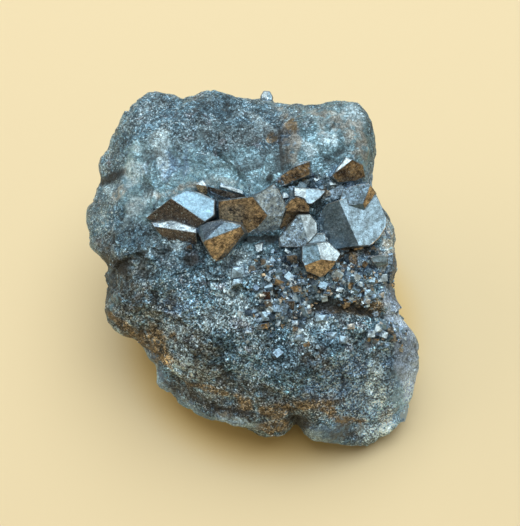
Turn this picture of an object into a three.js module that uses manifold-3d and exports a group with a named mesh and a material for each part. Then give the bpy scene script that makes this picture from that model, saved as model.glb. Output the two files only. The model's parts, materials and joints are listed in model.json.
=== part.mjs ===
// Skutterudite hand specimen: a broken lump of granular ore with a pocket of metallic crystals.
// Millimetres, +Z up. The lump is shaped in a frame of its own and then leaned back:
//   u runs to the right, v runs up the crystal-bearing face, w stands out of that face.
// The origin is the middle of the foot, on the surface that the stone rests on.
import * as THREE from 'three';
import { ConvexGeometry } from 'three/addons/geometries/ConvexGeometry.js';
import { mergeVertices } from 'three/addons/utils/BufferGeometryUtils.js';
import Module from 'manifold-3d';

const wasm = await Module();
wasm.setup();

// ---------- driving dimensions ----------

const LEAN = THREE.MathUtils.degToRad(30); // how far the crystal face leans back from level
const CENTRE_HEIGHT = 21; // middle of the lump above the foot
const FRONT_DEPTH = 15; // girdle to the crystal face
const BACK_DEPTH = 23; // girdle to the underside
const ROUNDNESS = 3; // exponent of the rounded section: 2 is an ellipse, more is boxier
const CHIP_SHARPNESS = 16; // exponent that blends the chipped flats into the lump
const FINENESS = 17; // cuts along each edge of the icosahedron that the lump starts from
const GAP = 0.3; // clearance between a crystal and what it sits in
const ROOT = 4.5; // how far a crystal reaches below the ore around it
const WALL_STEEPNESS = THREE.MathUtils.degToRad(85); // slope of a crystal's sides below its faces

// Girdle of the lump: the corners of its broadest outline, counter-clockwise from the right.
const GIRDLE = [
  [26.4, 0], [27.8, 6.8], [25.7, 12.5], [23.8, 16], [25.2, 28], [23.5, 34.2],
  [17, 34.8], [11.1, 34.4], [4, 35.4], [-4, 36], [-9, 36.9], [-14.3, 35.5],
  [-21.4, 37.2], [-26.9, 35.3], [-30.8, 29.3], [-35.6, 25.2], [-33, 18.7], [-35.6, 11.2],
  [-35.3, 7.1], [-33.6, 3.8], [-30.4, 0.6], [-28.9, -5.8], [-28.9, -10.4], [-27.6, -13.4],
  [-24.2, -15.2], [-22.6, -18.2], [-20, -20.4], [-19.2, -24.2], [-17.4, -27.2], [-14, -29.4],
  [-8.6, -31.2], [-1.2, -33.2], [2.4, -34.8], [6, -34.2], [9, -32.8], [11, -35],
  [16.9, -36.6], [25.4, -39.4], [29.8, -35.5], [33.9, -28.4], [33.8, -20.2], [33, -15.5],
  [29.4, -8.8], [25, -3.6],
];

// Flats where the lump broke: [turn about w from +u, tilt out of the girdle plane, distance], degrees and mm.
const CHIPS = [
  [100, 62, 20], [232, 55, 21.5], [320, 58, 24.5], [15, 50, 24], [160, 52, 24],
  [80, -28, 34], [150, -35, 34.5], [215, -30, 27.5], [300, -38, 37.5], [20, -32, 26], [100, -62, 24],
];

// Swells (+) and hollows (-) of the crystal face: centre [u, v], height, half-widths along and across,
// and the turn of the long way.
const RELIEF = [
  { at: [-14, 27], height: 1.6, size: [13, 5], turn: -8 }, // upper hump
  { at: [-17, 21], height: -2.2, size: [4.6, 3.4], turn: 10 }, // smooth dish
  { at: [-29.5, 18.5], height: -3.0, size: [2.6, 1.7], turn: 20 }, // hole at the left edge
  { at: [-3, 18.6], height: 1.7, size: [10, 2.2], turn: 4 }, // ridge above the crystal pocket
  { at: [-4.2, 14.6], height: -2.2, size: [4, 0.9], turn: -3 }, // undercut beneath the ridge
  { at: [-6, 10.5], height: -3.2, size: [13, 4.2], turn: 2 }, // left arm of the pocket
  { at: [12, 10], height: -2.4, size: [9, 6.5], turn: 12 }, // right arm of the pocket
  { at: [-13, -10], height: 2.0, size: [12, 9], turn: -30 }, // lower left mass
  { at: [-24.5, -12.5], height: 1.1, size: [7, 1.8], turn: -42 }, // rim of the lower left wall
  { at: [-7, -27.5], height: 1.3, size: [9, 2], turn: -12 }, // rim of the lower wall
  { at: [22.5, -2.5], height: 3.0, size: [6, 4], turn: 0 }, // brow of small crystals
  { at: [21.5, -9], height: -2, size: [6, 1.2], turn: -12 }, // crevice under the brow
  { at: [27, -19], height: 1.6, size: [5.5, 9], turn: 0 }, // right lobe
  { at: [25, 9], height: 2.6, size: [4, 6], turn: 10 }, // shoulder beneath the large right crystal
  { at: [22, 27], height: 2.4, size: [5, 7], turn: 0 }, // upper right corner
  { at: [-26, 27], height: 1.4, size: [5, 5], turn: 0 }, // upper left corner
  { at: [9, -33.5], height: -1.6, size: [1.4, 3], turn: 0 }, // notch between the lower knobs
];

// Crystals. Each is one or more flat-faced bodies grown together. outline is a body's corners seen along
// w, clockwise; rise is the height of its first face's point over the ore beneath the body's middle;
// each face passes through the point at [u, v], set above that by lift, and climbs by slope [per u, per v].
// level, where given, is an absolute w that takes the place of the ore's height. Where two crystals
// crowd each other, the later one in the list stops short of the earlier.
const STEEL = 0x8f9ba3;
const BRIGHT = 0xa9c0cc;
const BRONZE = 0x7a6440;
const QUARTZ = 0xb9b3a2;

const CRYSTALS = {
  lower_blade: { colour: STEEL, bodies: [{
    outline: [[-19.4, 8.5], [-15.8, 8.8], [-11.1, 7.5], [-11.1, 4.3], [-12.4, 3.9], [-16.8, 5.5],
      [-18.6, 7.3]],
    rise: 3,
    faces: [
      { at: [-14.7, 7.2], lift: 0, slope: [0.05, -0.4] },
      { at: [-14.7, 7.2], lift: 0, slope: [0.24, 0.83] },
    ],
  }] },
  front_crystal: { colour: BRONZE, bodies: [{
    outline: [[-11.1, 7.5], [-10, 8], [-6.1, 8.8], [-2.5, 8.1], [-1.7, 6.6], [-7, 0.8], [-7.4, 0.8],
      [-9.2, 4.4]],
    rise: 5.2,
    faces: [
      { at: [-9.1, 5.1], lift: 0, slope: [-0.12, 0.6] },
      { at: [-9.1, 5.1], lift: 0, slope: [0.22, -0.29] },
      { at: [-9.1, 5.1], lift: 0, slope: [0.57, -0.64] },
      { at: [-9.1, 5.1], lift: 0, slope: [1.15, -0.47] },
      { at: [-3.9, 4.8], lift: -0.8, slope: [-0.63, 1.08] },
    ],
  }] },
  left_blade: { colour: BRIGHT, bodies: [{
    outline: [[-21.2, 10.2], [-15.6, 13.3], [-14, 14.5], [-12, 14.9], [-7.7, 12.8], [-7.7, 10],
      [-10.8, 7.8], [-12.1, 7.9], [-18.3, 8.8]],
    rise: 3.2,
    faces: [
      { at: [-12.7, 11.1], lift: 0, slope: [-0.1, -0.25] },
      { at: [-12.7, 11.1], lift: 0, slope: [0.41, 0.49] },
    ],
  }] },
  centre_crystal: { colour: BRONZE, bodies: [
    {
      outline: [[-6.4, 12.5], [-0.2, 13.4], [2.4, 10], [0.6, 8.1], [-1, 7.2], [-1.9, 7.4], [-6.2, 8.8]],
      rise: 5.2,
      faces: [{ at: [0, 13.4], lift: 0, slope: [0.12, 0.62] }],
    },
    {
      outline: [[0, 13.4], [3.9, 15.8], [4.6, 15], [6, 11.6], [5.3, 9.6], [3.9, 6.6], [-1, 6.6]],
      rise: 5.2,
      faces: [
        { at: [0, 13.4], lift: 0, slope: [0.12, 0.62] },
        { at: [0, 13.4], lift: 0, slope: [-0.27, 0.34] },
        { at: [2.4, 10], lift: -1.82, slope: [-0.27, 1.07] },
      ],
    },
  ] },
  gold_ledge: { colour: BRONZE, bodies: [{
    outline: [[4.4, 16.8], [8.6, 19.8], [10.8, 20.4], [10.7, 18], [5.4, 16]],
    rise: 2.2,
    faces: [
      { at: [9.4, 19.8], lift: 0, slope: [0.1, 0.45] },
      { at: [9.4, 19.8], lift: 0, slope: [0.35, -0.3] },
    ],
  }] },
  round_crystal: { colour: BRONZE, bodies: [
    {
      outline: [[6.2, 11.5], [7.2, 12.9], [8.2, 13.5], [9.6, 13.1], [10.7, 11.7], [10.6, 10.8],
        [8.2, 10.3], [6.4, 10.6]],
      rise: 3,
      faces: [
        { at: [8.6, 13], lift: 0, slope: [-0.1, 0.62] },
        { at: [8.6, 10.9], lift: -1.3, slope: [-0.1, 1.3] },
      ],
    },
    {
      outline: [[4.6, 9.2], [6.1, 10.7], [8.2, 10.5], [8, 8.8], [6.4, 7.7], [4.5, 8]],
      rise: 2.2,
      faces: [{ at: [6.6, 10.6], lift: 0, slope: [-0.2, 0.6] }],
    },
  ] },
  bright_wedge: { colour: BRIGHT, bodies: [{
    outline: [[8, 15.4], [10.2, 15.2], [13.6, 14.6], [12.6, 13.4], [11.2, 12.3], [10.6, 12.3],
      [8.1, 13.7]],
    rise: 2.2,
    faces: [
      { at: [10.1, 14.2], lift: 0, slope: [0.18, -0.28] },
      { at: [10.1, 14.2], lift: 0, slope: [-0.08, -0.26] },
    ],
  }] },
  pale_block: { colour: STEEL, bodies: [
    {
      outline: [[5.2, 4.2], [5.2, 5.6], [8.6, 10.2], [10.8, 10.2], [12.1, 8.6], [12.1, 6.7], [9.8, 4.1]],
      rise: 3,
      faces: [
        { at: [9.65, 8], lift: 0, slope: [-0.34, -0.08] },
        { at: [9.65, 8], lift: 0, slope: [0.3, 0.1] },
      ],
    },
    {
      outline: [[10, 6.4], [13.8, 6.5], [14, 5.2], [12, 4.7], [10.4, 4.6]],
      rise: 2,
      faces: [{ at: [12, 6], lift: 0, slope: [-0.15, -0.1] }],
    },
  ] },
  right_cluster: { colour: BRIGHT, bodies: [
    {
      outline: [[12.8, 9.6], [14.4, 12], [17.2, 13], [23.8, 13.9], [25.7, 9.6], [25.6, 8], [24.1, 5.8],
        [22.6, 4.4], [16, 3.9], [14.9, 4.6], [12.8, 8]],
      rise: 3.2,
      faces: [
        { at: [18, 9.5], lift: 0, slope: [-0.24, -0.2] },
        { at: [18, 9.5], lift: 0, slope: [0.5, 0.12] },
      ],
    },
    {
      outline: [[17, 12.8], [17.5, 14.9], [19.9, 15.7], [22.2, 16], [23.6, 14.6], [21.3, 11], [20.5, 11]],
      rise: 4.4,
      faces: [
        { at: [21.8, 14], lift: 0, slope: [0.16, -0.1] },
        { at: [21.8, 14], lift: 0, slope: [-1.1, 0.35] },
        { at: [20.9, 12], lift: -0.2, slope: [0.1, 0.9] },
      ],
    },
  ] },
  corner_crystal: { colour: BRONZE, bodies: [{
    outline: [[15.2, 17.6], [18, 21.3], [21.2, 19.8], [21.6, 18.2], [20, 17.4], [16.6, 16.7]],
    rise: 2.8,
    faces: [
      { at: [17.4, 19.5], lift: 0, slope: [-0.72, 0.58] },
      { at: [17.4, 19.5], lift: 0, slope: [-0.05, -0.3] },
    ],
  }] },
  low_crystal: { colour: BRIGHT, bodies: [{
    outline: [[9.5, 3.9], [12.4, 4.6], [14.2, 4.7], [16.8, 2.2], [15.3, 0.6], [13.9, -2], [10.3, -0.6],
      [9.5, 1.4]],
    rise: 3.6,
    faces: [
      { at: [12.9, 1.5], lift: 0, slope: [-0.1, 0.8] },
      { at: [12.9, 1.5], lift: 0, slope: [0.22, -0.1] },
      { at: [12.9, 1.5], lift: 0, slope: [-0.2, -0.2] },
    ],
  }] },
  gold_bead: { colour: BRONZE, bodies: [{
    outline: [[-11.2, 16.1], [-9.9, 16.9], [-9.1, 15.6], [-9.1, 14.5], [-9.9, 14.1], [-10.9, 15]],
    rise: 1.6,
    faces: [
      { at: [-10, 15.9], lift: 0, slope: [0.1, 0.8] },
      { at: [-10, 15.9], lift: 0, slope: [-0.1, -0.3] },
    ],
  }] },
  small_cube: { colour: BRIGHT, bodies: [{
    outline: [[0.3, 4.3], [1.7, 4.6], [1.7, 3.3], [0.6, 2.7]],
    rise: 1,
    faces: [{ at: [1, 3.8], lift: 0, slope: [0.05, -0.2] }],
  }] },
  brow_crystal: { colour: STEEL, bodies: [{
    outline: [[22.7, 1.9], [24.4, 2.3], [26, 2.1], [26, 0.8], [24.2, 0.3], [23.3, 0.9]],
    rise: 1.8,
    faces: [
      { at: [24.4, 1.2], lift: 0, slope: [-0.2, 0.1] },
      { at: [24.4, 1.2], lift: 0.1, slope: [-0.2, 0.7] },
    ],
  }] },
  quartz_chip: { colour: QUARTZ, bodies: [{
    outline: [[28.1, -30.3], [28.9, -28.4], [30.3, -27.4], [32.1, -28.3], [32.3, -30], [31.6, -32.3],
      [29.4, -32.4]],
    level: 0,
    root: 2,
    faces: [
      { at: [30.4, -29.6], lift: 1.2, slope: [-0.2, 0.35] },
      { at: [30.4, -29.6], lift: 1.2, slope: [0.5, -0.3] },
    ],
  }] },
  edge_crystal: { colour: BRIGHT, bodies: [{
    outline: [[1.6, 36], [2.1, 36.8], [3.3, 36.8], [3.8, 35.8], [3.6, 33.5], [1.8, 33.6]],
    level: 0,
    root: 1.6,
    faces: [
      { at: [2.7, 35.5], lift: 1, slope: [0.35, -0.3] },
      { at: [2.7, 35.5], lift: 1, slope: [-0.35, -0.2] },
    ],
  }] },
};

// ---------- shape of the lump ----------

// Polar radius of the girdle, from a closed Catmull-Rom curve through its corners.
function girdleRadius() {
  const curve = new THREE.CatmullRomCurve3(
    GIRDLE.map(([u, v]) => new THREE.Vector3(u, v, 0)), true, 'catmullrom', 0.5);
  const samples = curve.getPoints(GIRDLE.length * 12).slice(0, -1).map((p) => ({
    angle: Math.atan2(p.y, p.x), radius: Math.hypot(p.x, p.y),
  }));
  samples.sort((a, b) => a.angle - b.angle);
  const first = samples[0];
  const last = samples.at(-1);
  samples.push({ angle: first.angle + 2 * Math.PI, radius: first.radius });
  samples.unshift({ angle: last.angle - 2 * Math.PI, radius: last.radius });
  return (angle) => {
    const i = samples.findIndex((sample) => sample.angle > angle);
    const a = samples[i - 1];
    const b = samples[i];
    return THREE.MathUtils.mapLinear(angle, a.angle, b.angle, a.radius, b.radius);
  };
}

const radiusAt = girdleRadius();

const chips = CHIPS.map(([turn, tilt, distance]) => {
  const a = THREE.MathUtils.degToRad(turn);
  const t = THREE.MathUtils.degToRad(tilt);
  const normal = new THREE.Vector3(Math.cos(a) * Math.cos(t), Math.sin(a) * Math.cos(t), Math.sin(t));
  return { normal, distance };
});

// Repeatable number from 0 to 1 for a lattice cell.
function hash(x, y, z, channel) {
  const s = Math.sin(x * 127.1 + y * 311.7 + z * 74.7 + channel * 19.19) * 43758.5453;
  return s - Math.floor(s);
}

// Fracture facets: space is split into cells around jittered seeds, and each cell is a tilted plane.
function facets(p, cellSize) {
  const q = p.clone().divideScalar(cellSize);
  const cell = q.clone().floor();
  let nearest = Infinity;
  let height = 0;
  for (let i = -1; i <= 1; i += 1) {
    for (let j = -1; j <= 1; j += 1) {
      for (let k = -1; k <= 1; k += 1) {
        const [x, y, z] = [cell.x + i, cell.y + j, cell.z + k];
        const dx = q.x - x - hash(x, y, z, 0);
        const dy = q.y - y - hash(x, y, z, 1);
        const dz = q.z - z - hash(x, y, z, 2);
        const distance = dx * dx + dy * dy + dz * dz;
        if (distance < nearest) {
          nearest = distance;
          height = dx * (hash(x, y, z, 3) - 0.5) + dy * (hash(x, y, z, 4) - 0.5)
            + dz * (hash(x, y, z, 5) - 0.5) + 0.4 * (hash(x, y, z, 6) - 0.5);
        }
      }
    }
  }
  return height * cellSize;
}

const FACET_CELL = 9; // size of the coarse fracture facets
const FACET_DEPTH = 0.3; // how strongly they tilt

// Distance from the middle of the lump to its surface along a unit direction.
function lumpRadius(d) {
  const across = Math.hypot(d.x, d.y) / radiusAt(Math.atan2(d.y, d.x));
  const out = Math.abs(d.z) / (d.z > 0 ? FRONT_DEPTH : BACK_DEPTH);
  const body = (across ** ROUNDNESS + out ** ROUNDNESS) ** (CHIP_SHARPNESS / ROUNDNESS);
  const cut = chips.reduce(
    (sum, { normal, distance }) => sum + Math.max(0, normal.dot(d) / distance) ** CHIP_SHARPNESS, 0);
  const smooth = (body + cut) ** (-1 / CHIP_SHARPNESS);
  const p = d.clone().multiplyScalar(smooth);
  const front = THREE.MathUtils.smoothstep(d.z, -0.05, 0.25);
  let radius = smooth + FACET_DEPTH * facets(p, FACET_CELL);
  for (const { at, height, size, turn } of RELIEF) {
    const a = THREE.MathUtils.degToRad(turn);
    const [du, dv] = [p.x - at[0], p.y - at[1]];
    const along = (du * Math.cos(a) + dv * Math.sin(a)) / size[0];
    const side = (dv * Math.cos(a) - du * Math.sin(a)) / size[1];
    radius += front * height * Math.exp(-0.5 * (along * along + side * side));
  }
  return radius;
}

function lumpGeometry() {
  const geometry = new THREE.IcosahedronGeometry(1, FINENESS);
  const position = geometry.attributes.position;
  const d = new THREE.Vector3();
  for (let i = 0; i < position.count; i += 1) {
    d.fromBufferAttribute(position, i).normalize();
    d.multiplyScalar(lumpRadius(d));
    position.setXYZ(i, d.x, d.y, d.z);
  }
  return geometry;
}

// Height of the ore over the girdle plane at [u, v], found by halving the span that holds it.
function oreHeight(u, v) {
  let low = -BACK_DEPTH;
  let high = 2 * FRONT_DEPTH;
  const p = new THREE.Vector3();
  while (high - low > 0.01) {
    p.set(u, v, (low + high) / 2);
    const distance = p.length();
    if (distance < lumpRadius(p.normalize())) low = (low + high) / 2;
    else high = (low + high) / 2;
  }
  return low;
}

// ---------- crystals ----------

// The flat sides of one body: its faces, a steep wall under each edge of its outline, and its root.
function bodyPlanes({ outline, level, rise = 0, root = ROOT, faces }) {
  const middle = outline.reduce(([u, v], corner) => [
    u + corner[0] / outline.length, v + corner[1] / outline.length], [0, 0]);
  const datum = level ?? oreHeight(...middle) + rise;
  const tops = faces.map(({ at, lift, slope }) => {
    const normal = new THREE.Vector3(-slope[0], -slope[1], 1).normalize();
    const point = new THREE.Vector3(at[0], at[1], datum + lift);
    return new THREE.Plane().setFromNormalAndCoplanarPoint(normal, point);
  });
  const walls = outline.map(([u, v], i) => {
    const next = outline[(i + 1) % outline.length];
    const outward = new THREE.Vector3(v - next[1], next[0] - u, 0).normalize();
    const normal = outward.multiplyScalar(Math.sin(WALL_STEEPNESS)).setZ(Math.cos(WALL_STEEPNESS));
    return new THREE.Plane().setFromNormalAndCoplanarPoint(normal, new THREE.Vector3(u, v, datum));
  });
  const bottom = new THREE.Plane(new THREE.Vector3(0, 0, -1), datum - rise - root);
  return [...tops, ...walls, bottom];
}

// Convex body inside a set of planes, each pushed out by grow.
function convexBody(planes, grow) {
  const corners = [];
  const inside = (p) => planes.every((plane) => plane.distanceToPoint(p) < grow + 1e-6);
  for (let i = 0; i < planes.length; i += 1) {
    for (let j = i + 1; j < planes.length; j += 1) {
      for (let k = j + 1; k < planes.length; k += 1) {
        const [a, b, c] = [planes[i], planes[j], planes[k]];
        const bc = b.normal.clone().cross(c.normal);
        const volume = a.normal.dot(bc);
        if (Math.abs(volume) > 1e-4) {
          const p = bc.multiplyScalar(grow - a.constant)
            .addScaledVector(c.normal.clone().cross(a.normal), grow - b.constant)
            .addScaledVector(a.normal.clone().cross(b.normal), grow - c.constant)
            .divideScalar(volume);
          if (inside(p) && corners.every((q) => q.distanceTo(p) > 0.02)) corners.push(p);
        }
      }
    }
  }
  return new ConvexGeometry(corners);
}

// ---------- solids ----------

function toSolid(geometry) {
  const bare = geometry.clone();
  bare.deleteAttribute('normal');
  bare.deleteAttribute('uv');
  const merged = mergeVertices(bare, 1e-4);
  return new wasm.Manifold(new wasm.Mesh({
    numProp: 3,
    vertProperties: new Float32Array(merged.attributes.position.array),
    triVerts: new Uint32Array(merged.index.array),
  }));
}

function toGeometry(solid) {
  const { vertProperties, triVerts } = solid.getMesh();
  const geometry = new THREE.BufferGeometry();
  geometry.setAttribute('position', new THREE.BufferAttribute(vertProperties, 3));
  geometry.setIndex(new THREE.BufferAttribute(triVerts, 1));
  geometry.computeVertexNormals();
  return geometry;
}

function crystalSolid({ bodies }, grow) {
  return bodies.map((body) => toSolid(convexBody(bodyPlanes(body), grow))).reduce((a, b) => a.add(b));
}

// A crystal squeezed between its neighbours may be left with loose slivers: only its body is kept.
function largestBody(solid) {
  return solid.decompose().reduce((a, b) => (a.volume() > b.volume() ? a : b));
}

// Everything below the surface that the stone rests on, as a box in the leaned frame.
function groundSolid() {
  const size = 200;
  const box = new THREE.BoxGeometry(size, size, size);
  box.translate(0, 0, -size / 2 - CENTRE_HEIGHT);
  box.rotateX(-LEAN);
  return toSolid(box);
}

// ---------- the specimen ----------

function makeMesh(name, solid, colour, roughness, metalness) {
  const material = new THREE.MeshStandardMaterial({ color: colour, roughness, metalness });
  const mesh = new THREE.Mesh(toGeometry(solid), material);
  mesh.name = name;
  return mesh;
}

const leaned = new THREE.Group();
const lump = toSolid(lumpGeometry()).subtract(groundSolid());
const rooms = []; // each crystal with clearance all round, which its neighbours and the ore stay out of
for (const [name, crystal] of Object.entries(CRYSTALS)) {
  const solid = largestBody(rooms.reduce((left, room) => left.subtract(room), crystalSolid(crystal, 0)));
  rooms.push(crystalSolid(crystal, GAP));
  leaned.add(makeMesh(name, solid, crystal.colour, 0.3, 0.9));
}
const ore = largestBody(rooms.reduce((left, room) => left.subtract(room), lump));
leaned.add(makeMesh('ore_mass', ore, 0x66737a, 0.6, 0.6));
leaned.rotation.x = LEAN;
leaned.position.z = CENTRE_HEIGHT;

const group = new THREE.Group();
group.add(leaned);

export default group;
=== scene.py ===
import json
from itertools import product
from math import cos, radians, sin

import bmesh
import bpy
import numpy as np
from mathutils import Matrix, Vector


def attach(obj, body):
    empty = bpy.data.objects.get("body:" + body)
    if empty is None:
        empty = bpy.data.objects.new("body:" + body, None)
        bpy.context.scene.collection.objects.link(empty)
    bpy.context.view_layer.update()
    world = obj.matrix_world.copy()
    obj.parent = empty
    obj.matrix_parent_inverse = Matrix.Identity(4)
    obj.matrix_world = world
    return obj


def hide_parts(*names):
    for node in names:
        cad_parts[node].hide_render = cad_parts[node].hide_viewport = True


# Skutterudite hand specimen: granular metallic ore with a pocket of flat-faced crystals.
# The crystals start from the CAD frame; the ore's skin, grains and small crystals are made here.

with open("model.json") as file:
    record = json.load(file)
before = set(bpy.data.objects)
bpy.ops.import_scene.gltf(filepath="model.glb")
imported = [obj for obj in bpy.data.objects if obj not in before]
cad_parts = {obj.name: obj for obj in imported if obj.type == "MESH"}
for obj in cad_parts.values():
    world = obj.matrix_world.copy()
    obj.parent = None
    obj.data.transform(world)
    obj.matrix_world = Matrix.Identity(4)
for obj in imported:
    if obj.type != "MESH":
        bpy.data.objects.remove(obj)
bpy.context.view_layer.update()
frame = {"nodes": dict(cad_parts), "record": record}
mm = 0.001
rng = np.random.default_rng(27)

# The lump's own frame: u to the right, v up the crystal face, w out of it, in millimetres.
lump = {
    "lean": radians(30),  # how far the crystal face leans back from level
    "centre": np.array([0.0, 0.0, 21.0]),  # middle of the lump in the row's frame
    "frontDepth": 15.0,  # girdle to the crystal face
    "backDepth": 23.0,  # girdle to the underside
    "roundness": 3.0,  # 2 is an ellipse, more is boxier
    "chipSharpness": 16.0,  # how sharply the broken flats meet the body
    "facetCell": 9.0,  # size of the coarse fracture facets
    "facetDepth": 0.3,  # how strongly they tilt
    "facetEase": 2.0,  # width of their borders on the worn rim
    "rim": 0.35,  # height of the worn rim, on a ball of radius 1
    "girdle": [  # corners of the broadest outline, counter-clockwise from the right
        (27.6, 0.4), (28.6, 6.8), (25.9, 12.5), (23.8, 16), (25.8, 28.4), (23.5, 34.2), (17, 34.8),
        (11.1, 34.4), (4, 35.4), (-4, 36), (-9, 36.9), (-14.3, 35.5), (-21.4, 37.2), (-26.9, 35.3),
        (-30.8, 29.3), (-35.6, 25.2), (-33.6, 18.9), (-36.2, 11.2), (-35.3, 7.1), (-33.6, 3.8),
        (-30.4, 0.6), (-29.9, -5.8), (-29.6, -10.2), (-27.6, -13.4), (-24.2, -15.2), (-22.6, -18.2),
        (-20, -20.4), (-20, -24.4), (-18, -27.6), (-14, -29.4), (-8.6, -31.2), (-1.2, -33.2),
        (2.4, -34.8), (6, -34.2), (9, -32.8), (11, -35), (16.9, -36.6), (25.4, -39.4), (29.8, -35.5),
        (33.9, -28.4), (34.2, -20.2), (33.6, -15.4), (31.6, -12), (28.8, -8.2), (26.2, -3.8),
    ],
    "chips": [  # flats where it broke: turn about w, tilt out of the girdle plane, distance
        (100, 62, 20), (232, 55, 21.5), (320, 58, 24.5), (15, 50, 24), (160, 52, 24),
        (80, -28, 34), (150, -35, 34.5), (215, -30, 27.5), (300, -38, 37.5), (20, -32, 26), (100, -62, 24),
    ],
    "relief": [  # swells: centre u, v, height, half-widths along and across, turn
        (-14, 27, 1.6, 13, 5, -8), (-17, 21, -2.2, 4.6, 3.4, 10), (-29.5, 18.5, -3, 2.6, 1.7, 20),
        (-3, 18.6, 1.7, 10, 2.2, 4), (-4.2, 14.6, -2.2, 4, 0.9, -3), (-6, 10.5, -3.2, 13, 4.2, 2),
        (12, 10, -2.4, 9, 6.5, 12), (-13, -10, 2, 12, 9, -30), (-24.5, -12.5, 1.1, 7, 1.8, -42),
        (-7, -27.5, 1.3, 9, 2, -12), (22.5, -2.5, 3, 6, 4), (21.5, -9, -2, 6, 1.2, -12),
        (27, -19, 1.6, 5.5, 9), (25, 9, 2.6, 4, 6, 10), (22, 27, 2.4, 5, 7), (-26, 27, 1.4, 5, 5),
        (9, -33.5, -1.6, 1.4, 3),
    ],
}

leanTurn = np.array([  # rows turn a point of the lump's frame into the row's frame
    [1, 0, 0],
    [0, cos(lump["lean"]), -sin(lump["lean"])],
    [0, sin(lump["lean"]), cos(lump["lean"])],
])


def toRow(points):  # millimetres in the lump's frame to metres in the row's frame
    return (points @ leanTurn.T + lump["centre"]) * mm


def toLump(points):  # metres in the row's frame to millimetres in the lump's frame
    return (points / mm - lump["centre"]) @ leanTurn


def smooth(x, low, high):  # eased step from 0 at low to 1 at high
    t = np.clip((x - low) / (high - low), 0, 1)
    return t * t * (3 - 2 * t)


def unit(v):
    return v / np.linalg.norm(v, axis=-1, keepdims=True)


def cellHash(cell, channel):  # 0 to 1 for a lattice cell: the fractional part of a large sine
    s = np.sin(cell @ np.array([127.1, 311.7, 74.7]) + channel * 19.19) * 43758.5453
    return s - np.floor(s)


def facets(points, size):
    # Space is split into cells around jittered seeds, and each cell is a tilted plane.
    # Returns the plane's height and the distance to the next cell's border, both in mm.
    q = points / size
    cell = np.floor(q)
    nearest = np.full(len(q), np.inf)
    second = np.full(len(q), np.inf)
    height = np.zeros(len(q))
    for step in product((-1, 0, 1), repeat=3):
        near = cell + step
        h = [cellHash(near, channel) for channel in range(7)]
        dx, dy, dz = (q[:, a] - near[:, a] - h[a] for a in range(3))
        distance = dx * dx + dy * dy + dz * dz
        plane = dx * (h[3] - 0.5) + dy * (h[4] - 0.5) + dz * (h[5] - 0.5) + 0.4 * (h[6] - 0.5)
        closer = distance < nearest
        second = np.where(closer, nearest, np.minimum(second, distance))
        height = np.where(closer, plane, height)
        nearest = np.where(closer, distance, nearest)
    return height * size, (np.sqrt(second) - np.sqrt(nearest)) * size


def wander(points, size, channel=0):
    # Smooth noise from -1 to 1: lattice values blended with eased weights along the three axes.
    q = points / size
    cell = np.floor(q)
    f = q - cell
    f = f * f * (3 - 2 * f)
    total = np.zeros(len(q))
    for step in product((0, 1), repeat=3):
        weight = np.prod(np.where(np.array(step) == 1, f, 1 - f), axis=1)
        total += weight * cellHash(cell + step, 11 + channel)
    return 2 * total - 1


def girdleTable(steps=12):
    # Closed Catmull-Rom curve through the girdle's corners, as polar angle and radius.
    p = np.array(lump["girdle"], float)
    before, after, last = np.roll(p, 1, 0), np.roll(p, -1, 0), np.roll(p, -2, 0)
    t = np.arange(steps)[None, :, None] / steps
    a, b, c, d = (x[:, None, :] for x in (before, p, after, last))
    curve = 0.5 * (2 * b + (c - a) * t + (2 * a - 5 * b + 4 * c - d) * t**2
                   + (3 * b - a - 3 * c + d) * t**3)
    curve = curve.reshape(-1, 2)
    angle = np.arctan2(curve[:, 1], curve[:, 0])
    order = np.argsort(angle)
    return angle[order], np.hypot(curve[:, 0], curve[:, 1])[order]


girdleAngle, girdleRadius = girdleTable()


def blob(points, u, v, along, across, turn=0):  # 1 at the centre of an oval patch, fading like a bell
    a = radians(turn)
    du, dv = points[:, 0] - u, points[:, 1] - v
    x = (du * cos(a) + dv * sin(a)) / along
    y = (dv * cos(a) - du * sin(a)) / across
    return np.exp(-0.5 * (x * x + y * y))


def addSwells(values, points, swells, front):
    # Adds amount x blob for each swell.
    for u, v, amount, *oval in swells:
        values = values + front * amount * blob(points, u, v, *oval)
    return values


def wornRim(d):  # 1 along the girdle, fading away over the front and the back
    return np.exp(-((d[:, 2] / lump["rim"]) ** 2))


def eased(rim, border, width):  # 1 inside a facet, falling to 0 at its border where the rim is worn
    return 1 - rim * (1 - smooth(border, 0, width))


def facingFront(d):  # 0 behind the girdle to 1 in front, for directions
    return smooth(d[:, 2], -0.05, 0.25)


def onFront(points):  # the same, for points
    return smooth(points[:, 2], -4, 1)


def lumpRadius(d):
    # Rounded section inside the girdle, cut by the broken flats, then facets and swells.
    around = np.interp(np.arctan2(d[:, 1], d[:, 0]), girdleAngle, girdleRadius, period=2 * np.pi)
    across = np.hypot(d[:, 0], d[:, 1]) / around
    out = np.abs(d[:, 2]) / np.where(d[:, 2] > 0, lump["frontDepth"], lump["backDepth"])
    n, q = lump["roundness"], lump["chipSharpness"]
    total = (across**n + out**n) ** (q / n)
    for turn, tilt, distance in lump["chips"]:
        a, t = radians(turn), radians(tilt)
        normal = np.array([cos(a) * cos(t), sin(a) * cos(t), sin(t)])
        total += np.maximum(0, d @ normal / distance) ** q
    body = total ** (-1 / q)
    p = d * body[:, None]
    tilted, border = facets(p, lump["facetCell"])
    radius = body + lump["facetDepth"] * tilted * eased(wornRim(d), border, lump["facetEase"])
    return addSwells(radius, p, lump["relief"], facingFront(d))


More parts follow.
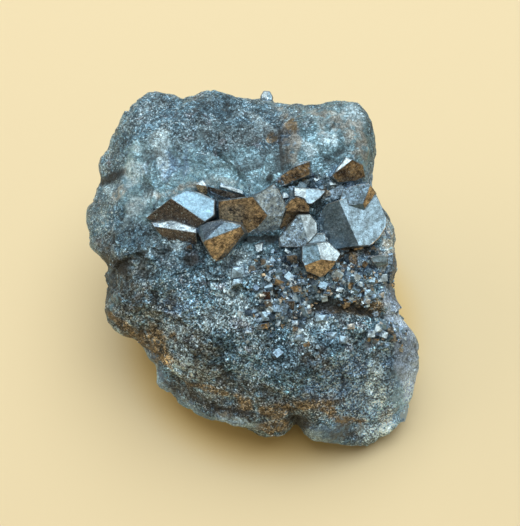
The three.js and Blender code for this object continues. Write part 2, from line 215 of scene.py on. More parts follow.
# Zones of the surface, as weights from 0 to 1 at points of the lump's frame.
zoneSpots = {  # centre u, v, half-widths, turn
    "calm": [  # smooth, close-grained
        (-22.5, -17.5, 2.2, 1, -55), (-19, -23, 3.6, 1, -80), (-13, -29, 4, 1, -30), (-4, -31, 4, 0.9, -5),
        (-28.8, -6, 1.2, 6), (-17, 20.5, 5, 3.8, 10), (-8, 17.5, 7, 2.6, 12), (3, 18, 5, 4),
        (-24.5, 19.5, 1.8, 3.4, -12), (-23, 13, 2.6, 3.4, 30), (-13, 16.5, 8, 1.6, 14), (2, 6, 4, 2.5),
        (15.5, 27.5, 5.5, 4.5), (21, 23.5, 1.8, 5, 5), (12, 22, 3, 3), (16, -35, 4, 3),
        (29.5, -26, 1.4, 5, 8), (24, 13, 2.4, 2.4), (27.6, 0, 1.6, 5, 5),
    ],
    # pale crusts; the long thin spot on the crest above the centre crystal is a painted highlight, and the
    # spot at u -3.4, v 2, below the crystals, is painted light over their shade
    "pale": [
        (-24.6, 19.4, 1.5, 2.6, -12), (-30.3, 16, 0.9, 0.9), (-18.6, 20.4, 1, 1.4),
        (-22.5, 12.4, 2.2, 1.2, 40), (-3.2, -1.8, 1.6, 1.7), (-4.5, -5.8, 2.6, 1.1, -8),
        (20.5, 30.4, 2.2, 1.6), (15.3, 25.4, 1.3, 1.2), (10.9, 23, 1.1, 1.8, 20),
        (-5.4, 16.8, 3.8, 0.5, -17), (-15, 4.6, 2.4, 0.9, -5), (-3.4, 2, 2, 1), (-13, -17.5, 1.2, 2, 10),
        (9, -13.6, 1.8, 0.8, -10), (13, -10.8, 2.6, 1), (16, 15, 2, 1.4), (24, -22, 1, 3.4),
        (-4, -31, 3.4, 0.8, -5), (12, -34.6, 2.2, 1.2, -10), (-15.5, -13, 1.6, 1.8),
        (-21.5, -18.5, 2, 0.8, -55), (-19.1, 25.4, 1.4, 2.2), (1.3, 29.5, 3.4, 0.8, -35),
        (0.7, -9.3, 1.8, 1.2), (10, -9.5, 1.4, 1), (24.5, -34.5, 2.6, 1.2, 15), (-8, -10, 2, 1.4, -30),
        (26, -26.4, 0.6, 1.6),
    ],
    "beige": [
        (14.5, 30, 2.8, 1.6, -20), (19.3, 26.2, 1.8, 2.2, 20), (21.4, 24.5, 1, 3, 10),
        (-27.6, 14.6, 2.8, 0.8, 60), (7.2, 24.4, 1.4, 4.4, 6), (-13.5, 15.6, 5, 0.8, 18),
        (7.5, 1.4, 1.4, 1.1), (26.5, 6.5, 1.2, 3.6, 15), (27, -1, 1.3, 4), (24.6, 2, 1.3, 1.3),
    ],
    "quartz": [
        (31.5, -14, 2, 6, 8), (31.4, -22, 1.6, 5, 10), (28, -8, 1.4, 3, 25), (29, -11, 2, 3),
    ],
    "blue": [  # bluer ground
        (-4.4, -30.4, 4, 1.4, -5), (13, -33.6, 4, 1.8, -10), (22, -33, 5, 3, 10), (29, -24, 3, 8, 8),
        (-20.6, -19.5, 1.2, 4, 30), (-13, -28.4, 4, 0.9, -30), (17, -24, 5, 3), (-17, 20.5, 3, 2),
        (20, -23, 2.4, 5), (18, 17, 3, 2), (22, 0, 5, 4), (17, -25, 3, 2.4), (24.6, 18, 1.6, 2.4),
        (13, -10, 2.6, 1.8), (6, 26, 2, 2), (-15, -8, 3, 2),
    ],
    "rust": [
        (-24.5, -12.8, 6.5, 0.8, -38), (-18.5, -17, 2.6, 1, -60), (-7.2, -24.4, 3.8, 0.6, -12),
        (-1.8, -26.8, 1.6, 0.9, -40), (6, -27.8, 6, 0.8, 5), (14.4, -28, 2, 0.8, -30),
        (19.6, -30.8, 3.4, 0.5, -6), (4.5, -31.6, 2.2, 1.3), (20, -8.5, 5, 0.8, -5),
        (17.5, 2.2, 3.6, 1.2, 6), (6.5, -5, 2.2, 1.6), (-19.2, -13.6, 1.8, 1), (22.5, -7, 3.5, 1.2, -8),
        (11.5, -1.5, 1.4, 1.6), (-25, -14.8, 1.6, 0.8), (3.3, 25.6, 0.9, 0.9), (7.6, 28.6, 0.8, 1.2),
    ],
    "olive": [
        (-28, -3, 3.6, 7, 10), (-24, -9, 6, 3.4, -35), (-14, -14, 6, 3.5, -40), (-11, -23, 6, 3, -30),
        (2, -26, 9, 2.4, -8), (-8.2, -23.5, 3.5, 1.8, -20), (11.9, -27, 2.5, 1.2), (6, -28.5, 6, 2, -8),
        (4.5, -32, 2.6, 1.6), (19, -34.4, 3, 1.4), (0, -29, 3, 1.4, -10), (-28.4, -17, 1.6, 4),
        (28, -30, 1.6, 1.6), (12, -18, 2.4, 1.2),
    ],
    # painted shade: dark lines and patches along crevices and notches, in pits and under overhangs
    "dark": [
        (-29.4, 18.4, 2.2, 1.1, 15), (-4.6, 13.5, 3.2, 0.7, -3), (20, -8.4, 5, 0.6, -14), (3, 5.6, 4.5, 0.6),
        (17, 3.6, 4, 0.8, 8), (9.4, 0.9, 1.8, 0.9, -20), (4.8, -4.2, 2.6, 0.5), (12, -6.5, 3, 1.2),
        (3.2, 17.4, 0.7, 0.9), (5.4, 12.8, 0.7, 0.8), (9, -31, 1.8, 1, -20), (9, -34, 0.7, 1.6),
        (-25.6, 0.2, 1.4, 1.8), (-12.2, 1.2, 1.2, 1), (5.4, 23, 0.25, 3.4, 4), (-3, -28.6, 5, 0.3, -8),
    ],
    "glint": [  # crowded with tiny crystals
        (5.6, 0, 3, 3, -15), (19.8, -3, 4.8, 2.8), (6, -6, 4, 4, -10), (25, -13.5, 3, 2), (12, 15.4, 2.4, 2),
    ],
}


def zone(points, name, ragged=0.45):
    # Sum of the zone's oval patches on the front, with an irregular border.
    total = sum(blob(points, *spot) for spot in zoneSpots[name])
    total = total + ragged * (wander(points, 2.2, 3) + 0.6 * wander(points, 0.9, 4)) * (total > 0.02)
    return smooth(total, 0.25, 0.75) * onFront(points)


def addObject(name, data):
    item = bpy.data.objects.new(name, data)
    bpy.context.scene.collection.objects.link(item)
    return item


def writeNote(mesh, key, values, domain="POINT"):  # a number at each point or face, read by the materials
    note = mesh.attributes.new(key, "FLOAT", domain)
    note.data.foreach_set("value", np.ascontiguousarray(values, np.float32))


def makePiece(name, points, faces, material, notes=None):
    # points in millimetres of the lump's frame; faces as an array of corner indices
    mesh = bpy.data.meshes.new(name)
    mesh.from_pydata(toRow(points), [], faces.tolist())
    for key, values in (notes or {}).items():
        writeNote(mesh, key, values)
    mesh.materials.append(material)
    mesh.update()
    piece = addObject(name, mesh)
    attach(piece, "root")
    return piece


def cubeSphere(n):
    # Directions on a ball from six square grids: each grid point is (tan a, tan b, 1) made unit long,
    # with a and b from -45 to 45 degrees; points that two grids share are welded.
    t = np.tan(np.linspace(-np.pi / 4, np.pi / 4, n + 1))
    a, b = np.meshgrid(t, t, indexing="ij")
    square = unit(np.stack([a, b, np.ones_like(a)], -1)).reshape(-1, 3)
    turns = [(0, 1, 2, 1), (1, 2, 0, 1), (2, 0, 1, 1), (1, 0, 2, -1), (2, 1, 0, -1), (0, 2, 1, -1)]
    points = np.concatenate([(square * (1, 1, sign))[:, np.argsort(axes)] for *axes, sign in turns])
    index = np.arange((n + 1) ** 2).reshape(n + 1, n + 1)
    quads = np.stack([index[:-1, :-1], index[1:, :-1], index[1:, 1:], index[:-1, 1:]], -1).reshape(-1, 4)
    quads = np.concatenate([quads + k * (n + 1) ** 2 for k in range(6)])
    _, first, welded = np.unique(np.round(points, 6), axis=0, return_index=True, return_inverse=True)
    return points[first], welded.ravel()[quads]


def faceFrames(points, faces):  # middle, outward normal and area of each quad
    a, b, c, d = (points[faces[:, k]] for k in range(4))
    cross = np.cross(c - a, d - b)
    area = np.linalg.norm(cross, axis=1) / 2
    return (a + b + c + d) / 4, cross / (2 * area[:, None]), area


skin = {
    "cuts": 128,  # grid squares along each side of the six squares
    "spread": (33, 36, 19), "crowding": 0.25,  # evens the squares out over the flat lump, denser in front
    "lumpCell": 5.5, "lumpDepth": 0.22, "lumpEase": 1.5,  # knuckles, and their borders on the worn rim
    "blockCell": 2.6, "blockDepth": 0.34, "blockEase": 0.8,  # angular blocks
    "chipCell": 1.1, "chipDepth": 0.30,  # small broken faces
    "crackWidth": 0.45, "crackDepth": 0.45,  # grooves between some of the blocks, mm
    "grit": 0.09,  # finest roughness, mm
    "dents": [  # small swells, as in relief
        (-5.4, 14.2, -0.8, 3.6, 0.6, -15), (-5.2, 16.8, 0.5, 4, 0.6, -17), (-24.5, 20, 0.5, 1.2, 3, -12),
        (3, 5.6, -0.9, 4, 0.6), (-30.3, 16, 0.7, 0.8, 0.8), (17.6, 22.8, -0.7, 2.8, 0.7, 22),
        (16.5, 3.4, -1.2, 4, 0.8, 8), (9.6, 16.6, -0.5, 2.2, 0.7, 12), (9, -31, -0.9, 1.8, 1.2, -20),
        (-4, -30.4, 0.9, 3.8, 1.1, -6), (4.5, -32.8, 0.9, 2.4, 1.3), (13, -33.6, 1.2, 3, 2, -10),
        (-21.5, -17.5, -1, 6, 1.2, -52), (-12, -26.5, -0.9, 6, 1.1, -38), (-3, -1.6, 0.6, 1.6, 1.6),
        (-25.5, 8, 0.7, 3, 4), (6, 23.5, -0.7, 1.6, 5, 8), (11, 25, 0.6, 2, 3), (19, 27, 0.9, 3, 2, -30),
        (-15, -2, 0.7, 4, 3, -20), (-6, -14, 0.6, 3, 3), (4, -20, 0.6, 4, 2.4, 20), (14, -17, 0.8, 3.5, 2.4),
        (29, -2.5, -1.3, 1.6, 3.4), (-30.5, -1.5, -1.2, 1.6, 3.6), (-20, 3, -0.6, 3, 1.6),
        (12, -7, -1, 3.4, 1.4, -10),
    ],
}


def crowdFront(d):  # stretches the ball of directions to the lump's proportions and leans them to the front
    return unit((d + (0, 0, skin["crowding"])) * skin["spread"])


def skinPoints(d):
    # The lump's radius plus finer layers of tilted facets, grooves at some borders, dents and a little
    # grit, less in calm zones and at the worn rim.
    p = d * lumpRadius(d)[:, None]
    rim = wornRim(d)
    calm = np.maximum.reduce([zone(p, "calm"), 0.6 * zone(p, "quartz"), 0.85 * rim])
    lumps, lumpEdge = facets(p + 20, skin["lumpCell"])
    blocks, blockEdge = facets(p + 40, skin["blockCell"])
    chips = facets(p + 90, skin["chipCell"])[0]
    lumps *= eased(rim, lumpEdge, skin["lumpEase"])
    blocks *= eased(rim, blockEdge, skin["blockEase"])
    height = lumps * skin["lumpDepth"] + blocks * skin["blockDepth"] * (1 - 0.6 * calm)
    height += chips * skin["chipDepth"] * (1 - 0.75 * calm)
    split = 1 - smooth(np.minimum(blockEdge, 0.6 * lumpEdge), 0, skin["crackWidth"])
    height -= skin["crackDepth"] * split * smooth(wander(p, 4, 2), -0.2, 0.5) * (1 - 0.5 * calm)
    height += skin["grit"] * wander(p, 0.5, 1)
    return p + d * addSwells(height, p, skin["dents"], facingFront(d))[:, None]


def riseAbove(points):  # how far points stand out of the skin, in mm
    return np.linalg.norm(points, axis=1) - np.linalg.norm(skinPoints(unit(points)), axis=1)


def flattenFoot(points):  # nothing reaches below the surface that the stone rests on
    row = toRow(points)
    row[:, 2] = np.maximum(row[:, 2], 0)
    return toLump(row)


shades = [  # broad lighter and darker places, partly the ore's own tone and partly painted light and shade: centre u, v, amount, half-widths, turn
    # above the crystals
    (-9, 30.5, -0.35, 8, 3), (-27.5, 23, -0.5, 2, 3), (-24, 24, 0.3, 3, 3), (-12, 24.5, -0.3, 6, 3),
    (-17, 20.5, -0.25, 4, 3, 10), (8, 27.5, -0.5, 2.4, 4), (10, 21.6, -0.5, 3, 1.6), (16, 27, -0.4, 2.4, 2),
    (21, 30, -0.5, 3, 2), (17.6, 22.8, -0.75, 2.8, 0.8, 22), (15.3, 25.4, 0.2, 1, 1), (-22, 20, 0.2, 2, 3),
    (-20, 14, 0.4, 2, 1.6), (-24, 9.8, -1.2, 2.2, 2.6), (-19.4, 11.5, 0.5, 1.6, 2.4), (-27, 6, -0.3, 3, 2),
    (-5, 18.4, 0.45, 6, 1.2, 6), (2, 17, 0.6, 3.4, 2), (-3.4, 14.6, 0.7, 1.2, 1), (-3, 26, 0.25, 2, 2.4),
    (20.4, 22, -0.5, 1.4, 1.4), (-12, 34.5, -0.3, 3, 1.4), (-24, 18, -0.4, 1.4, 2), (-24, 22.6, 0.4, 2, 1.6),
    (8, 17.6, 0.8, 2, 1), (-5, 16, 0.4, 3, 0.8, -17), (16, 15, 0.4, 2.4, 1.6), (24, 14, 0.3, 2, 2),
    # beside and between them
    (-19, -0.5, -0.45, 4, 2, -20), (-12, 1.6, -0.9, 1.8, 1.8), (-4, 2, 0.7, 2.6, 1.6), (0, 6, 0.5, 1.6, 1.6),
    (4, 2, -0.3, 1.4, 1.4), (16, 2.6, -0.4, 2, 1), (24.4, 2.4, 0.8, 1.6, 1.6), (-15, 4.6, 0.3, 2.4, 1, -5),
    (-16, -7.5, -0.2, 3, 1.6, -20), (-12, -9, 0.7, 2, 2), (-7.6, -10.4, -0.3, 1.6, 1.4),
    (-1, -9.6, 0.7, 2, 1.6), (0, -17, 0.5, 1.4, 2), (4, -6, -0.3, 1.6, 1.4), (20.4, -2, 0.1, 2, 2),
    (24.6, -5, 0.9, 2, 3), (26.6, 1, 1.1, 1.3, 4), (0.4, 2, -0.9, 1.4, 1.4), (0, -6, 0.6, 1.6, 1.6),
    # the left wall and the lower left
    (-28.6, -2, 0.4, 1, 3), (-25.4, 0, -0.5, 1.6, 2.2), (-24.8, -6, -0.7, 2.4, 2.2),
    (-25, -11, 0.25, 2, 2, -40), (-23.4, -14.6, 1.7, 3, 1.8, -50), (-14.6, -15, -0.5, 3.4, 2, -30),
    (-19, -19, 1.2, 3, 2.4, -50), (-15, -22, 1.6, 4.4, 2.2, -20), (-13, -27, 0.5, 3, 1.6),
    (-8, -19, -0.2, 4, 1.4, -30), (-20, -26, 0.7, 2, 2, -40),
    # the lower middle
    (12, -10.4, 0.6, 4.4, 1.2, -6), (13.6, -14.4, -0.5, 3.4, 1.4), (6, -18.4, -0.8, 5, 1.6, -8),
    (4.2, -15, -0.2, 2.6, 1.1, -10), (-5.6, -14.2, -0.2, 2, 1.1), (-1, -30, -0.7, 3, 1.2, -10),
    (12, -30, -0.35, 2, 1.4), (5, -26.6, -0.25, 3, 1.4), (14, -34.6, -0.4, 3.4, 1.4),
    (8, -30, 1.4, 1.6, 1.2), (8.6, -34, -0.5, 2, 1), (-8, -29.6, -0.3, 2, 1.2), (8, -13.6, 0.4, 1.6, 1),
    # the right lobe
    (23, -15.6, 1, 2, 2.4, 30), (23.4, -27, -0.4, 2, 2), (23.8, -24, 0.55, 1.6, 4.4),
    (22.6, -30, 0.5, 2.4, 2), (28.6, -19, -0.5, 2.2, 3), (31.6, -14, -0.6, 2, 2.4),
    (28.4, -8.6, 0.8, 1.2, 2.4), (28.2, -32.5, 1.7, 2, 3), (20, -22, 0.5, 1.6, 1.6), (32, -27, 1.1, 1.2, 3),
]


def surfaceNotes(points):  # the zone weights and the light and dark drift that the materials read
    notes = {key: zone(points, key) for key in "rust pale beige quartz olive calm blue".split()}
    notes["dark"] = zone(points, "dark", 0.25)
    tone = 0.5 + 0.3 * wander(points, 6, 5) + 0.3 * wander(points, 2.2, 6)
    tone = addSwells(tone, points, shades, onFront(points))
    # painted shade: the ground between the tiny crystals of the glint zone is darkened
    notes["tone"] = (tone - 0.55 * zone(points, "glint")).clip(0)
    notes["coarse"] = 1 - smooth(points[:, 1], -8, 4)  # the lower half has stronger grain contrast and more painted glints
    return notes


def octahedron():
    points = np.array([[1, 0, 0], [-1, 0, 0], [0, 1, 0], [0, -1, 0], [0, 0, 1], [0, 0, -1]], float)
    faces = [[0, 2, 4], [2, 1, 4], [1, 3, 4], [3, 0, 4], [2, 0, 5], [1, 2, 5], [3, 1, 5], [0, 3, 5]]
    return points, np.array(faces)


def cube():
    points = np.array([[x, y, z] for x in (-1, 1) for y in (-1, 1) for z in (-1, 1)], float) * 0.75
    faces = [[0, 1, 3, 2], [4, 6, 7, 5], [0, 4, 5, 1], [2, 3, 7, 6], [0, 2, 6, 4], [1, 5, 7, 3]]
    return points, np.array(faces)


def randomTurns(count):  # rotation matrices from random unit quaternions
    w, x, y, z = unit(rng.normal(size=(count, 4))).T
    return np.stack([
        np.stack([1 - 2 * (y * y + z * z), 2 * (x * y - z * w), 2 * (x * z + y * w)], -1),
        np.stack([2 * (x * y + z * w), 1 - 2 * (x * x + z * z), 2 * (y * z - x * w)], -1),
        np.stack([2 * (x * z - y * w), 2 * (y * z + x * w), 1 - 2 * (x * x + y * y)], -1),
    ], 1)


def scatter(points, faces, weight, count):
    # Places on the skin and their normals, drawn in proportion to each quad's area times weight.
    middle, normal, area = faceFrames(points, faces)
    chance = area * weight(middle)
    pick = rng.choice(len(faces), size=count, p=chance / chance.sum())
    jitter = rng.dirichlet((1, 1, 1, 1), size=count)
    place = np.einsum("nk,nkd->nd", jitter, points[faces[pick]])
    return place, normal[pick]


def grainCloud(name, shape, places, normals, sizes, sink, material):
    # Copies of one small shape, each squashed, turned and sunk a little into the skin, as one mesh.
    template, faces = shape
    count = len(places)
    turned = template[None] * (1 + 0.25 * rng.uniform(-1, 1, (count, 1, 3))) * sizes[:, None, None]
    turned = np.einsum("nij,nkj->nki", randomTurns(count), turned)
    centres = places - normals * (sizes * sink)[:, None]
    points = (centres[:, None] + turned).reshape(-1, 3)
    clear = toRow(points)[:, 2].reshape(count, -1).min(1) > 0.2 * mm  # of the floor
    points = points.reshape(count, -1, 3)[clear].reshape(-1, 3)
    centres = centres[clear]
    firstPoint = np.arange(len(centres)) * len(template)
    allFaces = (faces[None] + firstPoint[:, None, None]).reshape(-1, faces.shape[1])
    notes = {key: np.repeat(values, len(template)) for key, values in surfaceNotes(centres).items()}
    notes["grain"] = np.repeat(rng.random(len(centres)), len(template))
    return makePiece(name, points, allFaces, material, notes)


class Wire:  # a shader socket that adds Math nodes through ordinary operators
    def __init__(self, paint, socket):
        self.paint, self.socket = paint, socket

    def maths(self, operation, *others):
        values = dict(enumerate((self, *others)))
        return self.paint.make("ShaderNodeMath", {"operation": operation}, values)

    def __add__(self, other):
        return self.maths("ADD", other)

    def __sub__(self, other):
        return self.maths("SUBTRACT", other)

    def __rsub__(self, other):
        return self.paint.make("ShaderNodeMath", {"operation": "SUBTRACT"}, {0: other, 1: self})

    def __mul__(self, other):
        return self.maths("MULTIPLY", other)

    __radd__ = __add__
    __rmul__ = __mul__

    def clamp(self):
        return self.paint.make("ShaderNodeClamp", {}, {0: self})


class Paint:  # one material and the nodes in it
    def __init__(self, name):
        self.material = bpy.data.materials.new(name)
        self.material.use_nodes = True
        self.tree = self.material.node_tree
        self.tree.nodes.clear()
        self.place = self.make("ShaderNodeTexCoord", {}, {}, "Object")

    def make(self, kind, settings, values, output=0):
        node = self.tree.nodes.new(kind)
        stops = settings.pop("stops", [])
        for key, value in settings.items():
            setattr(node, key, value)
        for k, (position, colour) in enumerate(stops):  # a new ramp has two stops
            elements = node.color_ramp.elements
            stop = elements[k] if k < 2 else elements.new(position)
            stop.position, stop.color = position, tint[colour]
        for key, value in values.items():
            if isinstance(value, Wire):
                self.tree.links.new(value.socket, node.inputs[key])
            else:
                node.inputs[key].default_value = value
        return None if output is None else Wire(self, node.outputs[output])

    def notes(self, names):  # numbers that the piece carries
        settings = [{"attribute_name": name} for name in names.split()]
        return [self.make("ShaderNodeAttribute", setting, {}, "Fac") for setting in settings]

    def noise(self, size, detail=3, rough=0.6):  # sizes are in mm
        values = {"Vector": self.place, "Scale": 1 / (size * mm), "Detail": detail, "Roughness": rough}
        return self.make("ShaderNodeTexNoise", {}, values, "Fac")

    def creases(self, size, width):  # 0 along winding lines, 1 away from them
        level = self.noise(size, 4, 0.65)
        return self.spread((level - 0.5).maths("ABSOLUTE"), 0, width)

    def patches(self, size, low, high, *rest):  # noise pushed to 0 below one level and 1 above the other
        return self.spread(self.noise(size, *rest), low, high)

    def cells(self, size):  # a random colour in each cell
        values = {"Vector": self.place, "Scale": 1 / (size * mm)}
        return self.make("ShaderNodeTexVoronoi", {}, values, "Color")

    def mix(self, factor, a, b):  # a colour may be a name in tint
        a, b = (tint[colour] if isinstance(colour, str) else colour for colour in (a, b))
        return self.make("ShaderNodeMix", {"data_type": "RGBA"}, {0: factor, 6: a, 7: b}, 2)

    def spread(self, value, low, high):  # eased 0 to 1 as the value goes from low to high
        values = {"Value": value, "From Min": low, "From Max": high}
        return self.make("ShaderNodeMapRange", {"interpolation_type": "SMOOTHSTEP"}, values)

    def shade(self, colour):  # the first channel of a random colour
        return self.make("ShaderNodeSeparateColor", {}, {0: colour})

    def vector(self, operation, a, b=(0, 0, 0)):
        return self.make("ShaderNodeVectorMath", {"operation": operation}, {0: a, 1: b})

    def scaled(self, colour, scale):
        return self.make("ShaderNodeVectorMath", {"operation": "SCALE"}, {0: colour, "Scale": scale})

    def grainNormal(self, size, amount):
        # the surface normal, knocked aside by a different random amount in each cell
        normal = self.make("ShaderNodeNewGeometry", {}, {}, "Normal")
        knock = self.scaled(self.vector("SUBTRACT", self.cells(size), (0.5, 0.5, 0.5)), amount)
        return self.vector("NORMALIZE", self.vector("ADD", normal, knock))

    def bump(self, height, distance, normal, strength):  # distance in mm
        values = {"Height": height, "Distance": distance * mm, "Strength": strength}
        if normal is not None:
            values["Normal"] = normal
        return self.make("ShaderNodeBump", {}, values)

    def finish(self, values):
        shader = self.make("ShaderNodeBsdfPrincipled", {}, values, "BSDF")
        self.make("ShaderNodeOutputMaterial", {}, {"Surface": shader}, None)
        return self.material


tint = {name: (*rgb, 1) for name, rgb in {
    "steelBlue": (0.145, 0.26, 0.345), "slate": (0.18, 0.265, 0.315), "teal": (0.185, 0.325, 0.39),
    "lilac": (0.25, 0.265, 0.32), "cobalt": (0.17, 0.28, 0.43), "moss": (0.12, 0.105, 0.07),
    "frost": (0.42, 0.56, 0.63), "beige": (0.32, 0.32, 0.29), "wax": (0.4, 0.51, 0.66),
    "rust": (0.21, 0.145, 0.065), "paintedShade": (0.018, 0.017, 0.014), "glitter": (0.72, 0.86, 0.93),
    "steel": (0.23, 0.36, 0.45), "indigo": (0.08, 0.115, 0.17), "blueFace": (0.28, 0.455, 0.565),
    "chalk": (0.74, 0.9, 0.98), "bronze": (0.36, 0.275, 0.185), "umber": (0.08, 0.066, 0.056),
    "brass": (0.68, 0.52, 0.32), "garnet": (0.09, 0.045, 0.04), "floor": (0.805, 0.65, 0.4),
    "shadedFloor": (0.83, 0.58, 0.235), "smoke": (0.38, 0.5, 0.56), "milk": (0.7, 0.82, 0.86),
}.items()}


def orePaint(name, isGrain):
    # Granular metal in a patchwork of blue, slate and lilac, each grain lighter or darker and tilted its
    # own way; moss-brown dirt, pale crusts, quartz and stain lie over it, with painted glints on the
    # brightest specks and painted shade in crevices and recesses.
    paint = Paint(name)
    rust, pale, beige, quartz, olive, calm, blue, dark, tone, coarse, own = paint.notes(
        "rust pale beige quartz olive calm blue dark tone coarse " + ("grain" if isGrain else "deep"))
    colour = paint.mix(paint.patches(5.0, 0.42, 0.58), "steelBlue", "slate")
    colour = paint.mix(paint.patches(3.1, 0.56, 0.68) * 0.6, colour, "lilac")
    colour = paint.mix(calm * 0.7, colour, "teal")
    colour = paint.mix(blue * 0.7, colour, "cobalt")
    dirt = (olive * 0.75 + paint.patches(3.6, 0.56, 0.72, 5, 0.7) * 0.45).clamp() * (1.0 - quartz * 0.8)
    colour = paint.mix(dirt * paint.patches(1.1, 0.32, 0.6), colour, "moss")
    crust = (pale + paint.patches(2.0, 0.58, 0.74, 4, 0.65) * 0.45).clamp()
    colour = paint.mix(crust * paint.patches(0.9, 0.30, 0.55), colour, "frost")
    colour = paint.mix(beige * paint.patches(1.6, 0.36, 0.55, 4) * 0.85, colour, "beige")
    colour = paint.mix(quartz * 0.8, colour, "wax")
    stain = (rust * 1.2 + paint.patches(4.0, 0.62, 0.74, 5, 0.7) * 0.35).clamp()
    stain = stain * paint.patches(1.0, 0.32, 0.52, 5, 0.7) * (1.0 - quartz * 0.7)
    colour = paint.mix(stain * 0.9, colour, "rust")
    speck = own if isGrain else paint.shade(paint.cells(0.25))
    blotch = paint.patches(1.5, 0.36, 0.62, 4, 0.65)
    level = speck * speck * (coarse * 2.0 + 3.2) + (1.1 - coarse * 0.65)
    level = level * (blotch * 0.5 + 0.5) * (tone * 0.9 + 0.5)
    quiet = (calm * 0.75 + quartz * 0.5).clamp()
    level = level * (1.0 - quiet) + quiet * (tone * 0.7 + 1.05)
    lines = paint.creases(1.9, 0.035) * paint.creases(0.8, 0.03)
    level = level * (lines * 0.55 + 0.45)
    colour = paint.scaled(colour, level)
    # painted glints: the brightest specks are turned blue-white, fewer on calm, quartz and stained ground
    glitter = paint.spread(speck, 0.88, 0.93) * (1.0 - quiet * 0.9) * (1.0 - stain * 0.8)
    glitter = glitter * paint.spread(tone, 0.05, 0.4) * (coarse * 0.3 + 0.7)
    colour = paint.mix(glitter, colour, "glitter")
    # painted shade: crevices, notches, pits and overhang undersides of the dark zone, and on the skin also
    # its recesses, are darkened towards near black
    deep = dark if isGrain else (dark + own * 0.8).clamp()
    colour = paint.mix(deep * 0.88, colour, "paintedShade")
    dull = (crust * 0.5 + beige * 0.6 + quartz * 0.7 + stain * 0.8 + deep * 0.8 + dirt * 0.5).clamp()
    knock = 0.3 if isGrain else 1.0
    normal = paint.grainNormal(0.4, (1.0 - quiet * 0.8) * knock)
    normal = paint.bump(lines, 0.12, normal, 0.8)
    normal = paint.bump(paint.noise(0.3, 3), 0.10, normal, 0.5)
    return paint.finish({
        "Base Color": colour,
        "Metallic": (1.0 - dull) * 0.55,
        "Roughness": (dull * 0.2 + 0.40 - glitter * 0.12).clamp(),
        "Normal": normal,
    })


def crystalPaint(name):
    # Flat metal faces: stippled steel blue, or mottled bronze that is partly tarnish and partly painted
    # reflection of the floor; redder, paler with painted highlight or darker with painted shade as the
    # face's notes say, with bright flecks, and ore dirt low down and on crusted faces.
    paint = Paint(name)
    bronze, shade, red, chalky, crusted, buried = paint.notes("bronze shade red chalky crusted buried")
    mottle = paint.noise(0.7, 5, 0.75)
    patch = paint.noise(2.4, 3)
    stipple = paint.shade(paint.cells(0.26))
    cool = paint.mix(paint.spread(patch, 0.35, 0.65), "steel", "blueFace")
    flake = paint.patches(1.3, 0.42, 0.54, 4, 0.7)
    # painted highlight: faces that catch the light turn pale blue-white and less metallic, in broken patches
    cool = paint.mix(chalky, cool, "chalk")
    # painted shade: faces turned from the light are darkened towards indigo
    cool = paint.mix(shade, cool, "indigo")
    patchyPaleness = 1.0 - chalky * (1.0 - flake) * 0.6
    cool = paint.scaled(cool, (stipple * 0.45 + mottle * 0.7 + 0.42) * patchyPaleness)
    # the warm faces, which face the floor: partly tarnish, partly painted reflection of the warm floor
    stops = [(0.40, "umber"), (0.47, "bronze"), (0.56, "brass")]
    warm = paint.make("ShaderNodeValToRGB", {"stops": stops}, {"Fac": mottle * 0.6 + patch * 0.4}, "Color")
    warm = paint.mix(red * 0.8, warm, "garnet")
    warm = paint.scaled(warm, stipple * 0.9 + 0.57)
    colour = paint.mix(bronze, cool, warm)
    scratches = paint.creases(1.3, 0.025) * 0.5 + 0.5
    # painted shade on the warm faces too
    colour = paint.scaled(colour, (1.0 - bronze * shade * 0.7) * scratches)
    fleck = paint.patches(0.4, 0.55, 0.66, 5, 0.8) * (shade * 0.6 + red * 0.5 + 0.1).clamp()
    colour = paint.mix(fleck * 0.85, colour, "glitter")
    dirt = paint.spread(buried + crusted * 0.5 + paint.noise(0.9, 4, 0.7) * 1.6 - 0.8, 0.3, 0.5)
    crust = paint.mix(patch * 0.6, "cobalt", "frost")
    speckled = (stipple * stipple * 1.5 + 0.35) * (flake * 0.8 + 0.5)
    colour = paint.mix(dirt * 0.85, colour, paint.scaled(crust, speckled))
    normal = paint.grainNormal(0.3, dirt * 0.6 + 0.1)
    normal = paint.bump(mottle, 0.08, normal, 0.7)
    return paint.finish({
        "Base Color": colour,
        "Metallic": (0.85 - dirt * 0.5 - chalky * 0.65).clamp(),
        "Roughness": (mottle * 0.3 + 0.22 + bronze * 0.08 + dirt * 0.2).clamp(),
        "Normal": normal,
    })


def quartzPaint():
    paint = Paint("quartz")
    cloud = paint.noise(1.8, 4)
    colour = paint.mix(cloud, "smoke", "milk")
    normal = paint.bump(paint.noise(0.8, 4), 0.15, None, 0.6)
    return paint.finish({
        "Base Color": colour,
        "Roughness": (cloud * 0.3 + 0.2).clamp(),
        "Transmission Weight": 0.35,
        "IOR": 1.54,
        "Normal": normal,
    })


def floorPaint(x=4 * mm, y=-3 * mm, radius=31 * mm):
    # plain paper, with painted shade round (x, y), where the stone's shadow lies: a deeper, more orange
    # colour
    paint = Paint("floorPaper")
    away = paint.vector("ADD", paint.place, (-x, -y, 0))
    away = paint.vector("MULTIPLY", away, (1 / radius, 1 / radius, 0))
    away = paint.make("ShaderNodeVectorMath", {"operation": "LENGTH"}, {0: away}, "Value")
    colour = paint.mix(paint.spread(away, 0.85, 1.2), "shadedFloor", "floor")
    return paint.finish({"Base Color": colour, "Roughness": 0.9})


oreMaterial = orePaint("ore", False)
grainMaterial = orePaint("oreGrain", True)
crystalMaterial = crystalPaint("crystalFace")
quartzMaterial = quartzPaint()

# The ore: its skin, then the grains over it.
directions, skinFaces = cubeSphere(skin["cuts"])
directions = crowdFront(directions)
skinShape = flattenFoot(skinPoints(directions))
